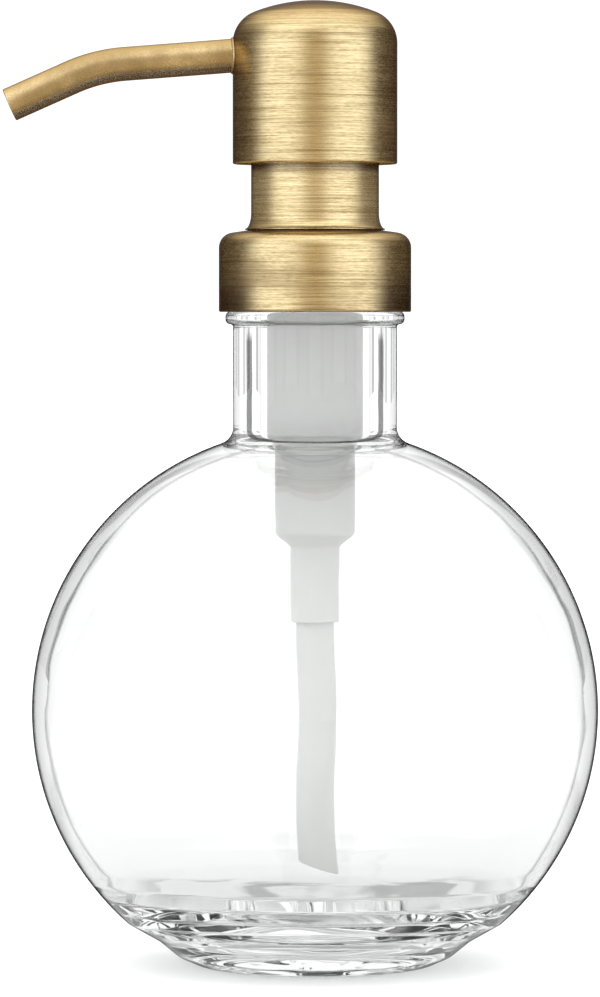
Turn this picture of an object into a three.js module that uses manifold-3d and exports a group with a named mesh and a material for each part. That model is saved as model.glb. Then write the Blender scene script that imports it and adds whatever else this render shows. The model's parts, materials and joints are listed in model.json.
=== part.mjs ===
// Soap pump dispenser: a ball-shaped glass bottle with a 28-400 screw neck, and a
// spring-return lotion pump under an antique brass head, sleeve and collar.
//
// Millimetres, +Z up. The bottle stands on Z = 0 and the spout points to -X. The
// origin is the middle of the footprint of the whole object, so the common axis of
// bottle and pump stands a little way along +X, by the amount the spout overhangs.
import * as THREE from "three";
import { mergeVertices } from "three/addons/utils/BufferGeometryUtils.js";
import Module from "manifold-3d";

const wasm = await Module();
wasm.setup();

// ---------------------------------------------------------------- fits and facets

const FACE_GAP = 0.05; // between faces that rest on each other
const PRESS_GAP = 0.1; // around a piece pushed into another
const RUN_GAP = 0.3; // around a piece that slides or turns
const OUTSIDE_SIDES = 28; // facets of the bottle and the brass covers
const INSIDE_SIDES = 18; // facets of the parts of the pump
const BALL_SIDES = { around: 12, down: 8 }; // facets of a valve ball
const FINE_SIDES = 8; // facets of a small drilled hole
const ARC_STEP = Math.PI / 4; // turn between two points of a rounded corner
const CUT_OVERRUN = 1; // how far a drill or a cutter runs past the wall it cuts
const MERGE_DISTANCE = 1e-4; // points closer than this are one
const AXIS_RADIUS = 1e-6; // points nearer the axis than this are on it

// --------------------------------------------------------------- glass bottle

const BALL_RADIUS = 51;
const BALL_CENTRE_Z = 45.65;
const GLASS_WALL = 2.4;
const FOOT = {
  puntRadius: 17.6, // edge of the hollow under the base
  puntStep: 15, // edge of its flat middle
  puntHeight: 1.4,
  puntCrown: 0.3, // fall from its middle to that edge
  restRadius: 21.4, // outer edge of the ring it stands on
  waistRadius: 24.8,
  waistZ: 1.5,
  creaseRadius: 28.3, // where the foot meets the ball
  creaseZ: 4.4,
  ballZ: 8.5,
};
const WALL_STEPS = { outside: 12, inside: 9 }; // arc points of the ball's two faces
const FLOOR = { z: 8.6, crown: 0.5, flatRadius: 20, cornerRadius: 29, cornerZ: 10.3, wallZ: 15.5 };
const NECK_RADIUS = 14.75;
const BORE_RADIUS = 9.9;
const SHOULDER_FILLET = { outside: 3, inside: 3.6 };
const EDGE_ROUND = 0.8; // on the bead and on the lip
const BEAD = { radius: 16.1, bottom: 115.2, top: 117.5 };
const LIP_Z = 127.4;

// The 28-400 finish: one right-hand thread of 6 turns to the inch.
const PITCH = 25.4 / 6;
const MALE = { root: 12.5, crest: 13.7, z: 119.8, turns: 1.25, rootHalf: 1.2, crestHalf: 0.45 };
const FEMALE = { root: 14.2, crest: 12.95, turns: 1.1, rootHalf: 0.93, crestHalf: 0.4 };
const FEMALE_START = 110; // degrees on from the start of the bottle's thread
const THREAD_CLEARANCE = 0.3; // between the flanks when the collar is tight
const THREAD_SINK = 0.4; // how far a ridge reaches into its own wall
const THREAD_STEPS = 24; // per turn
const THREAD_FADE = 30; // degrees over which a ridge rises from its wall
const THREAD_LEAST = 0.05; // share of its height that a ridge starts and ends with

// --------------------------------------------------------------- pump below the lip

const GASKET = { inner: 9.3, outer: 12.9, thickness: 0.9 };
const FLANGE = { radius: 13, thickness: 1.2 };
const HOUSING = {
  radius: 8.65, // as far as the step under the neck
  stepZ: 94.4,
  lowerRadius: 7.25,
  lowerTaper: 0.1,
  coneTop: 77.4,
  coneBottom: 75.1,
  socketRadius: 4.2,
  bottom: 61.6,
  pistonBore: 7.55,
  springBore: 6.2,
  boreStepZ: 96.2,
  boreTaper: 1.2,
  stepRound: 0.7,
  coneRound: 0.8,
  mouthRound: 0.3,
  ventZ: 121.9,
  ventRadius: 0.6,
};
const INLET = { orifice: 1.6, seatZ: 74.6, chamber: 3, chamberTop: 79, socketTop: 73.2 };
const INLET_BALL = { radius: 2.5, z: 76.65 };
const CAGE = { top: 85.9, wall: 1, webZ: 80.9, webThickness: 1.2, hole: 1.05, holeRing: 3.25, holes: 6 };
const DIP_TUBE = {
  radius: 3.3,
  wall: 0.8,
  sides: 14,
  steps: 9,
  bendZ: 57.6, // it is straight from its top down to there
  endZ: 12.6, // where its centreline ends, below the cut
  cutZ: 16.8, // where the oblique cut crosses the axis
  cutAngle: 20,
  // How far it stands off the axis, at shares of the way down from the bend.
  sway: [
    [0.35, 0.7],
    [0.7, 0.21],
    [1, 0.49],
  ],
};
const KNIFE = { width: 30, thickness: 10 };
const SPRING = { radius: 4.6, wire: 0.8, turns: 8, sides: 5, stepsPerTurn: 12 };

// --------------------------------------------------------------- piston and stem

const SEAL = {
  bottom: 114.9,
  top: 121.2,
  play: 0.15, // between its lips and the cylinder
  bore: 2.9,
  hub: 4.2,
  lipReach: 0.3, // how far the lips spread past the waist between them
  lipEdge: 0.35,
  lip: 0.8,
  webZ: 117.4,
  web: 1.5,
};
const ROD = {
  core: 2.6,
  head: 5.6,
  headThickness: 1.4,
  pin: 1.9,
  pinBottom: 105,
  pinRound: 0.6,
  plugTop: 127,
};
const ROD_SLOT = 1.3; // width of the cross slot that lets soap into the stem
const STEM = { radius: 3.2, bore: 1.95, flange: 4.2, flangeThickness: 1, top: 157.5 };
const WASHER = { outer: 4.1, thickness: 0.4 };
const OUTLET_BALL = { radius: 2.2 };

// --------------------------------------------------------------- collar and sleeve

const COLLAR = {
  radius: 17.3,
  bottom: 117.4,
  cornerZ: 131.3, // where the side and the top would meet if they weren't rounded
  knuckle: 2.7,
  top: 132.1,
  hole: 11.9,
  wall: 0.8,
};
const CLOSURE = { outer: 16.2, bottom: 118, hole: 10.3, ledge: 1, shoulder: 2.3 };
const SLEEVE = {
  radius: 11.5,
  wall: 0.5,
  bottom: 132.35,
  top: 148,
  flare: 1.1,
  flareHeight: 2.9,
  flareEdge: 0.2,
  flareSteps: 3,
};
const BUSH = {
  plugBottom: 122.9,
  plugWall: 1.1,
  plugRound: 0.4,
  guideWall: 1.2,
  guideTop: 133.5,
  web: 1.2,
  disc: 10,
  flangeThickness: 1.1,
  tubeWall: 0.9,
  tubeTop: 147.6,
};

// --------------------------------------------------------------- pump head

const HEAD = { radius: 14.8, bottom: 143.95, top: 173.3, crown: 30, knuckle: 6, wall: 0.7 };
const DOME_STEPS = { crown: 4, knuckle: 5 };
const CORE = {
  radius: 13.8,
  skirtBottom: 145.2,
  skirtWall: 1.4,
  ceiling: 159.6,
  shoulder: 165.6,
  topRadius: 12.8,
  top: 168.1,
  hub: 5.6,
  hubBottom: 146,
  bossRadius: 9,
  bossTop: 169.4,
  roof: 162,
  riser: 1.4,
  passageSides: 12,
};
const SPOUT = {
  radius: 3.05,
  wall: 0.7,
  sides: 16,
  steps: 11,
  rootX: -14.6,
  rootZ: 163.4,
  rootFall: 4.35, // degrees below level where it leaves the head
  cornerX: -39.2,
  tipFall: 24,
  tipLength: 17.2, // from the corner of the bend to the mouth
  bend: 5.2, // straight lengths taken up by the bend, each side of the corner
  innerX: -8.6,
};
const LINER = { radius: 2.15, wall: 0.55, sides: 12, recess: 1.4 };
const OUTSIDE_X = -20; // a place on the spout that is clear of the head

// --------------------------------------------------------------- outlines and solids

const radians = THREE.MathUtils.degToRad;

/** Points [radius, height] on an arc about (r, z), from one angle to another in degrees. */
function arc(r, z, radius, from, to, steps) {
  return Array.from({ length: steps + 1 }, (_, i) => {
    const angle = radians(from + ((to - from) * i) / steps);
    return [r + radius * Math.cos(angle), z + radius * Math.sin(angle)];
  });
}

/** Turns corners [radius, height, rounding] into points, with an arc at each rounded one. */
function outline(corners) {
  const at = (i) => new THREE.Vector2(...corners[(i + corners.length) % corners.length]);
  return corners.flatMap(([, , rounding = 0], i) => {
    const corner = at(i);
    if (!rounding) return [corner];
    const back = at(i - 1).sub(corner).normalize();
    const ahead = at(i + 1).sub(corner).normalize();
    const half = back.angleTo(ahead) / 2;
    const centre = back.clone().add(ahead).setLength(rounding / Math.sin(half)).add(corner);
    const start = back.multiplyScalar(rounding / Math.tan(half)).add(corner).sub(centre);
    const end = ahead.multiplyScalar(rounding / Math.tan(half)).add(corner).sub(centre);
    const sweep = Math.sign(start.cross(end)) * (Math.PI - 2 * half);
    const steps = Math.max(1, Math.ceil(Math.abs(sweep) / ARC_STEP));
    return Array.from({ length: steps + 1 }, (_, k) =>
      start.clone().rotateAround(new THREE.Vector2(), (sweep * k) / steps).add(centre),
    );
  });
}

/** A closed three.js geometry as a manifold-3d solid. */
function solidOf(geometry) {
  const bare = new THREE.BufferGeometry();
  bare.setAttribute("position", geometry.getAttribute("position"));
  bare.setIndex(geometry.index);
  const merged = mergeVertices(bare, MERGE_DISTANCE);
  const corners = merged.index.array;
  const kept = [];
  for (let i = 0; i < corners.length; i += 3) {
    const [a, b, c] = corners.slice(i, i + 3);
    if (a !== b && b !== c && c !== a) kept.push(a, b, c);
  }
  return new wasm.Manifold(
    new wasm.Mesh({
      numProp: 3,
      vertProperties: merged.attributes.position.array,
      triVerts: new Uint32Array(kept),
    }),
  );
}

/** A manifold-3d solid back as a three.js geometry. */
function geometryOf(solid) {
  const mesh = solid.getMesh();
  const geometry = new THREE.BufferGeometry();
  geometry.setAttribute("position", new THREE.BufferAttribute(mesh.vertProperties, 3));
  geometry.setIndex(new THREE.BufferAttribute(mesh.triVerts, 1));
  geometry.computeVertexNormals();
  return geometry;
}

/** A turned solid from corners [radius, height, rounding], round the Z axis. */
function turned(corners, sides) {
  const points = outline(corners);
  if (THREE.ShapeUtils.area(points) < 0) points.reverse();
  const onAxis = points.findIndex((p) => p.x < AXIS_RADIUS);
  if (onAxis < 0) {
    points.push(points[0].clone());
  } else {
    // Start the outline on the axis, so that it leaves the axis and comes back to it.
    while (Math.max(points[0].x, points.at(-1).x) > AXIS_RADIUS) points.push(points.shift());
  }
  return solidOf(new THREE.LatheGeometry(points, sides).rotateX(Math.PI / 2));
}

/**
 * A section of [radius, height] points, counter-clockwise, swept up a right-hand helix.
 * Where a fade is given, the section grows out of its first radius at both ends.
 */
function helix(section, { z, pitch, turns, start = 0, stepsPerTurn, fade = 0 }) {
  const steps = Math.round(turns * stepsPerTurn);
  const foot = section[0][0];
  const positions = [];
  for (let i = 0; i <= steps; i += 1) {
    const turn = (turns * i) / steps;
    const toEnd = 360 * Math.min(turn, turns - turn);
    const grown = fade ? THREE.MathUtils.clamp(toEnd / fade, THREAD_LEAST, 1) : 1;
    const angle = radians(start) + turn * 2 * Math.PI;
    for (const [r, dz] of section) {
      const radius = foot + (r - foot) * grown;
      positions.push(radius * Math.cos(angle), radius * Math.sin(angle), z + dz + pitch * turn);
    }
  }
  const count = section.length;
  const index = [];
  for (let i = 0; i < steps; i += 1) {
    for (let j = 0; j < count; j += 1) {
      const [a, b] = [i * count + j, i * count + ((j + 1) % count)];
      index.push(a, a + count, b, b, a + count, b + count);
    }
  }
  const last = steps * count;
  for (let j = 1; j < count - 1; j += 1) {
    index.push(0, j, j + 1, last, last + j + 1, last + j);
  }
  const geometry = new THREE.BufferGeometry();
  geometry.setAttribute("position", new THREE.Float32BufferAttribute(positions, 3));
  geometry.setIndex(index);
  return solidOf(geometry);
}

/** A thread ridge whose flanks run on into the wall that carries it. */
function ridge({ root, crest, rootHalf, crestHalf, turns }, z, start) {
  const inward = Math.sign(root - crest);
  const slope = (rootHalf - crestHalf) / Math.abs(root - crest);
  const foot = root + inward * THREAD_SINK;
  const footHalf = rootHalf + slope * THREAD_SINK;
  const section = [
    [foot, inward * footHalf],
    [crest, inward * crestHalf],
    [crest, -inward * crestHalf],
    [foot, -inward * footHalf],
  ];
  const lead = { z, pitch: PITCH, turns, start };
  return helix(section, { ...lead, stepsPerTurn: THREAD_STEPS, fade: THREAD_FADE });
}

/** A round bar or tube along a curve. */
function pipe(curve, radius, bore, sides, steps) {
  const circle = (r) => new THREE.Path().absarc(0, 0, r, 0, 2 * Math.PI);
  const section = new THREE.Shape(circle(radius).getPoints(sides / 2));
  if (bore) section.holes.push(new THREE.Path(circle(bore).getPoints(sides / 2)));
  return solidOf(new THREE.ExtrudeGeometry(section, { steps, extrudePath: curve }));
}

/** A straight round bar between two points, for drilling holes. */
function bar(from, to, radius, sides = INSIDE_SIDES) {
  const along = to.clone().sub(from);
  const geometry = new THREE.CylinderGeometry(radius, radius, along.length(), sides);
  const upright = new THREE.Vector3(0, 1, 0);
  geometry.applyQuaternion(
    new THREE.Quaternion().setFromUnitVectors(upright, along.clone().normalize()),
  );
  geometry.translate(...from.clone().lerp(to, 0.5));
  return solidOf(geometry);
}

/** A box by its size and centre. */
function block(width, depth, height, x, y, z) {
  return solidOf(new THREE.BoxGeometry(width, depth, height).translate(x, y, z));
}

function ball(radius, z) {
  const sphere = new THREE.SphereGeometry(radius, BALL_SIDES.around, BALL_SIDES.down);
  return solidOf(sphere.rotateX(Math.PI / 2).translate(0, 0, z));
}

// --------------------------------------------------------------- levels that follow from those

const gasketTop = LIP_Z + FACE_GAP + GASKET.thickness;
const flangeTop = gasketTop + FACE_GAP + FLANGE.thickness;
const ledgeBottom = flangeTop + PRESS_GAP;
const ledgeTop = ledgeBottom + CLOSURE.ledge;
const rodHeadTop = SEAL.bottom - PRESS_GAP;
const rodHeadBottom = rodHeadTop - ROD.headThickness;
const stemBottom = SEAL.top + PRESS_GAP;
const washerBottom = stemBottom + STEM.flangeThickness + FACE_GAP;
const outletBallZ = STEM.top + Math.sqrt(OUTLET_BALL.radius ** 2 - STEM.bore ** 2) + FACE_GAP;

// --------------------------------------------------------------- glass

function bottle() {
  const inner = BALL_RADIUS - GLASS_WALL;
  const angleAt = (z, radius) => THREE.MathUtils.radToDeg(Math.asin((z - BALL_CENTRE_Z) / radius));
  const angleFor = (r, radius) => THREE.MathUtils.radToDeg(Math.acos(r / radius));
  const footAngle = angleAt(FOOT.ballZ, BALL_RADIUS);
  const neckAngle = angleFor(NECK_RADIUS, BALL_RADIUS);
  const outside = arc(0, BALL_CENTRE_Z, BALL_RADIUS, footAngle, neckAngle, WALL_STEPS.outside);
  const floorAngle = angleAt(FLOOR.wallZ, inner);
  const boreAngle = angleFor(BORE_RADIUS, inner);
  const inside = arc(0, BALL_CENTRE_Z, inner, boreAngle, floorAngle, WALL_STEPS.inside);
  outside.at(-1).push(SHOULDER_FILLET.outside);
  inside[0].push(SHOULDER_FILLET.inside);
  const blank = turned(
    [
      [0, FOOT.puntHeight],
      [FOOT.puntStep, FOOT.puntHeight - FOOT.puntCrown],
      [FOOT.puntRadius, 0],
      [FOOT.restRadius, 0],
      [FOOT.waistRadius, FOOT.waistZ],
      [FOOT.creaseRadius, FOOT.creaseZ],
      ...outside,
      [NECK_RADIUS, BEAD.bottom],
      [BEAD.radius, BEAD.bottom, EDGE_ROUND],
      [BEAD.radius, BEAD.top, EDGE_ROUND],
      [MALE.root, BEAD.top],
      [MALE.root, LIP_Z, EDGE_ROUND],
      [BORE_RADIUS, LIP_Z, EDGE_ROUND],
      ...inside,
      [FLOOR.cornerRadius, FLOOR.cornerZ],
      [FLOOR.flatRadius, FLOOR.z],
      [0, FLOOR.z + FLOOR.crown],
    ],
    OUTSIDE_SIDES,
  );
  return blank.add(ridge(MALE, MALE.z, 0));
}

// --------------------------------------------------------------- pump body

function neckGasket() {
  return turned(
    [
      [GASKET.inner, LIP_Z + FACE_GAP],
      [GASKET.outer, LIP_Z + FACE_GAP],
      [GASKET.outer, gasketTop],
      [GASKET.inner, gasketTop],
    ],
    INSIDE_SIDES,
  );
}

function pumpHousing() {
  const shell = turned(
    [
      [HOUSING.pistonBore, flangeTop],
      [FLANGE.radius, flangeTop],
      [FLANGE.radius, gasketTop + FACE_GAP],
      [HOUSING.radius, gasketTop + FACE_GAP],
      [HOUSING.radius, HOUSING.stepZ, HOUSING.stepRound],
      [HOUSING.lowerRadius, HOUSING.stepZ],
      [HOUSING.lowerRadius - HOUSING.lowerTaper, HOUSING.coneTop, HOUSING.coneRound],
      [HOUSING.socketRadius, HOUSING.coneBottom],
      [HOUSING.socketRadius, HOUSING.bottom, HOUSING.mouthRound],
      [DIP_TUBE.radius + PRESS_GAP, HOUSING.bottom],
      [DIP_TUBE.radius + PRESS_GAP, INLET.socketTop],
      [INLET.orifice, INLET.socketTop],
      [INLET.orifice, INLET.seatZ],
      [INLET.chamber, INLET.seatZ + INLET.chamber - INLET.orifice],
      [INLET.chamber, INLET.chamberTop],
      [HOUSING.springBore, INLET.chamberTop],
      [HOUSING.springBore, HOUSING.boreStepZ - HOUSING.boreTaper],
      [HOUSING.pistonBore, HOUSING.boreStepZ],
    ],
    INSIDE_SIDES,
  );
  const vent = bar(
    new THREE.Vector3(HOUSING.pistonBore - CUT_OVERRUN, 0, HOUSING.ventZ),
    new THREE.Vector3(HOUSING.radius + CUT_OVERRUN, 0, HOUSING.ventZ),
    HOUSING.ventRadius,
    FINE_SIDES,
  );
  return shell.subtract(vent);
}

function valveCage() {
  const outer = HOUSING.springBore - PRESS_GAP;
  const bottom = INLET.chamberTop + FACE_GAP;
  const webTop = CAGE.webZ + CAGE.webThickness;
  const body = turned(
    [
      [INLET.chamber + PRESS_GAP, bottom],
      [outer, bottom],
      [outer, CAGE.top],
      [outer - CAGE.wall, CAGE.top],
      [outer - CAGE.wall, webTop],
      [0, webTop],
      [0, CAGE.webZ],
      [INLET.chamber + PRESS_GAP, CAGE.webZ],
    ],
    INSIDE_SIDES,
  );
  const holes = Array.from({ length: CAGE.holes }, (_, i) => {
    const angle = (i * 2 * Math.PI) / CAGE.holes;
    const [x, y] = [CAGE.holeRing * Math.cos(angle), CAGE.holeRing * Math.sin(angle)];
    const below = new THREE.Vector3(x, y, bottom - CUT_OVERRUN);
    const above = new THREE.Vector3(x, y, webTop + CUT_OVERRUN);
    return bar(below, above, CAGE.hole, FINE_SIDES);
  });
  return holes.reduce((solid, hole) => solid.subtract(hole), body);
}

function dipTube() {
  const { radius, wall, sides, steps, bendZ, endZ, cutZ, cutAngle, sway } = DIP_TUBE;
  const swayed = sway.map(
    ([share, off]) => new THREE.Vector3(off, 0, THREE.MathUtils.lerp(bendZ, endZ, share)),
  );
  const curve = new THREE.CatmullRomCurve3([
    new THREE.Vector3(0, 0, INLET.socketTop - RUN_GAP),
    new THREE.Vector3(0, 0, bendZ),
    ...swayed,
  ]);
  const knife = new THREE.BoxGeometry(KNIFE.width, KNIFE.width, KNIFE.thickness);
  knife.translate(0, 0, -KNIFE.thickness / 2).rotateY(radians(cutAngle)).translate(0, 0, cutZ);
  return pipe(curve, radius, radius - wall, sides, steps).subtract(solidOf(knife));
}

function guideBush() {
  const bore = STEM.radius + RUN_GAP;
  const plug = HOUSING.pistonBore - 2 * PRESS_GAP;
  const flangeRadius = SLEEVE.radius - SLEEVE.wall - PRESS_GAP;
  const tube = flangeRadius - PRESS_GAP;
  const flangeZ = ledgeTop + PRESS_GAP;
  const webTop = flangeZ + BUSH.flangeThickness;
  return turned(
    [
      [bore, BUSH.plugBottom],
      [plug, BUSH.plugBottom, BUSH.plugRound],
      [plug, flangeTop + FACE_GAP],
      [BUSH.disc, flangeTop + FACE_GAP],
      [BUSH.disc, flangeZ],
      [flangeRadius, flangeZ],
      [flangeRadius, webTop],
      [tube, webTop],
      [tube, BUSH.tubeTop],
      [tube - BUSH.tubeWall, BUSH.tubeTop],
      [tube - BUSH.tubeWall, webTop],
      [plug - BUSH.plugWall, webTop],
      [plug - BUSH.plugWall, BUSH.plugBottom + BUSH.web],
      [bore + BUSH.guideWall, BUSH.plugBottom + BUSH.web],
      [bore + BUSH.guideWall, BUSH.guideTop],
      [bore, BUSH.guideTop],
    ],
    INSIDE_SIDES,
  );
}

function neckSleeve() {
  const { radius, wall, bottom, top, flare, flareHeight, flareEdge, flareSteps } = SLEEVE;
  // The flare is a quarter of an ellipse, level at its foot and upright where it ends.
  const quarter = Array.from({ length: flareSteps + 1 }, (_, i) => {
    const angle = (i * Math.PI) / (2 * flareSteps);
    const rise = flareHeight * (1 - Math.cos(angle));
    return [radius + flare * (1 - Math.sin(angle)), bottom + flareEdge + rise];
  });
  return turned(
    [
      [radius - wall, bottom],
      [radius + flare, bottom],
      ...quarter,
      [radius, top],
      [radius - wall, top],
    ],
    OUTSIDE_SIDES,
  );
}

function returnSpring() {
  const wire = SPRING.wire / 2;
  const bottom = CAGE.top + PRESS_GAP + wire;
  const top = rodHeadBottom - PRESS_GAP - wire;
  const section = Array.from({ length: SPRING.sides }, (_, i) => {
    const angle = (i * 2 * Math.PI) / SPRING.sides;
    return [SPRING.radius + wire * Math.cos(angle), wire * Math.sin(angle)];
  });
  return helix(section, {
    z: bottom,
    pitch: (top - bottom) / SPRING.turns,
    turns: SPRING.turns,
    stepsPerTurn: SPRING.stepsPerTurn,
  });
}

// --------------------------------------------------------------- collar

function collarShell() {
  const { radius, bottom, cornerZ, knuckle, top, hole, wall } = COLLAR;
  return turned(
    [
      [radius, bottom],
      [radius, cornerZ, knuckle],
      [hole, top],
      [hole, top - wall],
      [radius - wall, cornerZ - wall, knuckle - wall],
      [radius - wall, bottom],
    ],
    OUTSIDE_SIDES,
  );
}

function closureRing() {
  const { outer, bottom, hole, shoulder } = CLOSURE;
  const ring = turned(
    [
      [FEMALE.root, bottom],
      [outer, bottom],
      [outer, ledgeTop - shoulder],
      [outer - shoulder, ledgeTop],
      [hole, ledgeTop],
      [hole, ledgeBottom],
      [FEMALE.root, ledgeBottom],
    ],
    OUTSIDE_SIDES,
  );
  // The ridge runs under the bottle's own, so that tightening pulls the collar down.
  const slope = (MALE.rootHalf - MALE.crestHalf) / (MALE.crest - MALE.root);
  const maleHalf = MALE.rootHalf - slope * (FEMALE.crest - MALE.root);
  const z = MALE.z - maleHalf - FEMALE.crestHalf - THREAD_CLEARANCE;
  return ring.add(ridge(FEMALE, z + (PITCH * FEMALE_START) / 360, FEMALE_START));
}

// --------------------------------------------------------------- piston, rod and stem

function pistonSeal() {
  const { bottom, top, bore, hub, lip, lipReach, lipEdge, webZ, web } = SEAL;
  const outer = HOUSING.pistonBore - SEAL.play;
  return turned(
    [
      [bore, bottom],
      [hub, bottom],
      [hub, webZ],
      [outer - lip, webZ],
      [outer - lipEdge, bottom],
      [outer, bottom],
      [outer - lipReach, webZ + web / 2],
      [outer, top],
      [outer - lipEdge, top],
      [outer - lip, webZ + web],
      [hub, webZ + web],
      [hub, top],
      [bore, top],
    ],
    INSIDE_SIDES,
  );
}

function pistonRod() {
  const plug = STEM.bore - PRESS_GAP;
  const rod = turned(
    [
      [0, ROD.pinBottom],
      [ROD.pin, ROD.pinBottom, ROD.pinRound],
      [ROD.pin, rodHeadBottom],
      [ROD.head, rodHeadBottom],
      [ROD.head, rodHeadTop],
      [ROD.core, rodHeadTop],
      [ROD.core, stemBottom - PRESS_GAP],
      [plug, stemBottom - PRESS_GAP],
      [plug, ROD.plugTop],
      [0, ROD.plugTop],
    ],
    INSIDE_SIDES,
  );
  const slotBottom = rodHeadTop + PRESS_GAP;
  const height = ROD.plugTop + CUT_OVERRUN - slotBottom;
  const depth = 2 * ROD.core + CUT_OVERRUN;
  return rod.subtract(block(ROD_SLOT, depth, height, 0, 0, slotBottom + height / 2));
}

function upperStem() {
  return turned(
    [
      [STEM.bore, stemBottom],
      [STEM.flange, stemBottom],
      [STEM.flange, stemBottom + STEM.flangeThickness],
      [STEM.radius, stemBottom + STEM.flangeThickness],
      [STEM.radius, STEM.top],
      [STEM.bore, STEM.top],
    ],
    INSIDE_SIDES,
  );
}

function stemWasher() {
  const bore = STEM.radius + PRESS_GAP;
  return turned(
    [
      [bore, washerBottom],
      [WASHER.outer, washerBottom],
      [WASHER.outer, washerBottom + WASHER.thickness],
      [bore, washerBottom + WASHER.thickness],
    ],
    INSIDE_SIDES,
  );
}

// --------------------------------------------------------------- spout

const rootDirection = new THREE.Vector3(-1, 0, 0).applyAxisAngle(
  new THREE.Vector3(0, 1, 0),
  -radians(SPOUT.rootFall),
);
const tipDirection = new THREE.Vector3(-1, 0, 0).applyAxisAngle(
  new THREE.Vector3(0, 1, 0),
  -radians(SPOUT.tipFall),
);

/** The point of the spout's first straight at a given x. */
function rootPoint(x) {
  const reach = (x - SPOUT.rootX) / rootDirection.x;
  return new THREE.Vector3(SPOUT.rootX, 0, SPOUT.rootZ).addScaledVector(rootDirection, reach);
}

/** The spout's centreline: a straight, an even bend and a shorter straight. */
function spoutCurve(recess = 0) {
  const corner = rootPoint(SPOUT.cornerX);
  const bendStart = corner.clone().addScaledVector(rootDirection, -SPOUT.bend);
  const bendEnd = corner.clone().addScaledVector(tipDirection, SPOUT.bend);
  const tip = corner.clone().addScaledVector(tipDirection, SPOUT.tipLength - recess);
  const curve = new THREE.CurvePath();
  curve.add(new THREE.LineCurve3(rootPoint(SPOUT.innerX), bendStart));
  curve.add(new THREE.QuadraticBezierCurve3(bendStart, corner, bendEnd));
  curve.add(new THREE.LineCurve3(bendEnd, tip));
  return curve;
}

function spoutTube() {
  const { radius, wall, sides, steps } = SPOUT;
  return pipe(spoutCurve(), radius, radius - wall, sides, steps);
}

function spoutLiner() {
  const { radius, wall, sides, recess } = LINER;
  return pipe(spoutCurve(recess), radius, radius - wall, sides, SPOUT.steps);
}

// --------------------------------------------------------------- pump head

/** The head's profile, set in by the given distance from the outer skin. */
function headOutline(inset) {
  const radius = HEAD.radius - inset;
  const knuckle = HEAD.knuckle - inset;
  const crown = HEAD.crown - inset;
  const knuckleR = radius - knuckle;
  const crownZ = HEAD.top - HEAD.crown;
  const drop = Math.sqrt((crown - knuckle) ** 2 - knuckleR ** 2);
  const knuckleZ = crownZ + drop;
  const meeting = THREE.MathUtils.radToDeg(Math.atan2(drop, knuckleR));
  const dome = arc(0, crownZ, crown, 90, meeting, DOME_STEPS.crown).slice(1);
  return [
    [0, HEAD.top - inset],
    ...dome,
    ...arc(knuckleR, knuckleZ, knuckle, meeting, 0, DOME_STEPS.knuckle).slice(1),
    [radius, HEAD.bottom],
  ];
}

function headShell() {
  const shell = turned([...headOutline(0), ...headOutline(HEAD.wall).reverse()], OUTSIDE_SIDES);
  return shell.subtract(bar(rootPoint(SPOUT.innerX), rootPoint(OUTSIDE_X), SPOUT.radius + PRESS_GAP));
}

function actuatorCore() {
  const socket = STEM.radius + PRESS_GAP;
  const chamber = OUTLET_BALL.radius + RUN_GAP;
  const body = turned(
    [
      [socket, CORE.hubBottom],
      [CORE.hub, CORE.hubBottom],
      [CORE.hub, CORE.ceiling],
      [CORE.radius - CORE.skirtWall, CORE.ceiling],
      [CORE.radius - CORE.skirtWall, CORE.skirtBottom],
      [CORE.radius, CORE.skirtBottom],
      [CORE.radius, CORE.shoulder],
      [CORE.topRadius, CORE.top],
      [CORE.bossRadius, CORE.top],
      [CORE.bossRadius, CORE.bossTop],
      [0, CORE.bossTop],
      [0, CORE.roof],
      [chamber, CORE.roof],
      [chamber, STEM.top + FACE_GAP],
      [socket, STEM.top + FACE_GAP],
    ],
    OUTSIDE_SIDES,
  );
  // The soap's way: up a riser from the valve chamber, then along the spout's centreline.
  const crossing = rootPoint(0);
  const below = new THREE.Vector3(0, 0, CORE.roof - CUT_OVERRUN);
  const intoSpout = rootPoint(SPOUT.innerX - CUT_OVERRUN);
  const seat = rootPoint(SPOUT.innerX + PRESS_GAP);
  return body
    .subtract(bar(below, crossing, CORE.riser, CORE.passageSides))
    .subtract(bar(crossing, intoSpout, LINER.radius - LINER.wall, CORE.passageSides))
    .subtract(bar(seat, rootPoint(OUTSIDE_X), SPOUT.radius + PRESS_GAP));
}

// --------------------------------------------------------------- the assembly

const glass = new THREE.MeshStandardMaterial({
  color: 0xf2f7f6, roughness: 0.03, metalness: 0, transparent: true, opacity: 0.3,
});
const brass = new THREE.MeshStandardMaterial({ color: 0xa98a52, roughness: 0.38, metalness: 1 });
const natural = new THREE.MeshStandardMaterial({ color: 0xdedede, roughness: 0.45, metalness: 0 });
const white = new THREE.MeshStandardMaterial({ color: 0xf1f1ef, roughness: 0.5, metalness: 0 });
const foam = new THREE.MeshStandardMaterial({ color: 0xe6e6e2, roughness: 0.9, metalness: 0 });
const steel = new THREE.MeshStandardMaterial({ color: 0xc8c9cb, roughness: 0.25, metalness: 1 });

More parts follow.
